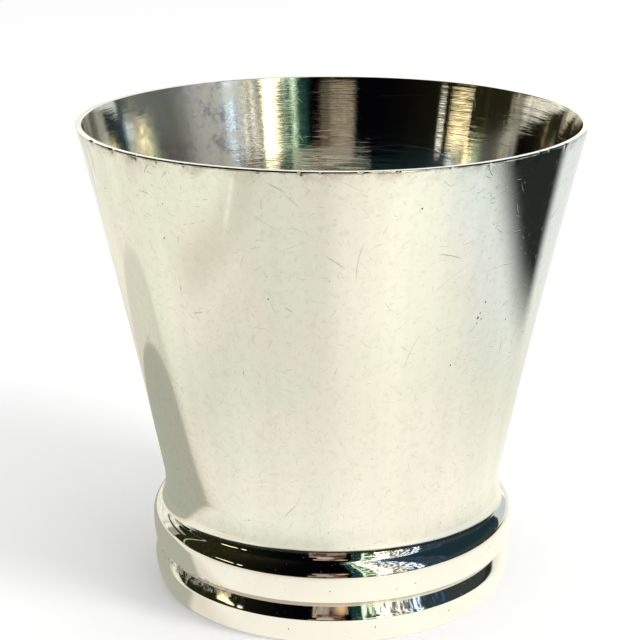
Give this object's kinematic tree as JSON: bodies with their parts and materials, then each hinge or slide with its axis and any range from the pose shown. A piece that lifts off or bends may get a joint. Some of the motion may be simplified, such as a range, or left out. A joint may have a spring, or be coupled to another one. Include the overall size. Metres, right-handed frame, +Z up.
{
  "type": "bar jigger",
  "caption": "Conical measuring cup with a square-cut rim, soldered into a turned foot of two rounded beads with a groove between them.",
  "frame": {"origin": "on the table, under the middle of the foot", "axes": "+Z up, along the cup's axis of revolution; the object is round, so +X and +Y are alike"},
  "size_m": [0.054, 0.054, 0.0519],
  "materials": {
    "satin_silver_plate": "satin",
    "bright_silver_plate": "polished",
    "base_plate_silver": "satin",
    "tarnished_solder": "matte",
    "grey_iron": "matte"
  },
  "bodies": {
    "root": {"cup_wall": "satin_silver_plate", "cup_floor": "satin_silver_plate", "floor_solder": "tarnished_solder", "foot_collar": "bright_silver_plate", "collar_solder": "satin_silver_plate", "foot_ring": "bright_silver_plate", "seam_solder": "tarnished_solder", "base_plate": "base_plate_silver", "base_solder": "tarnished_solder", "ballast_disc": "grey_iron"}
  },
  "joints": []
}
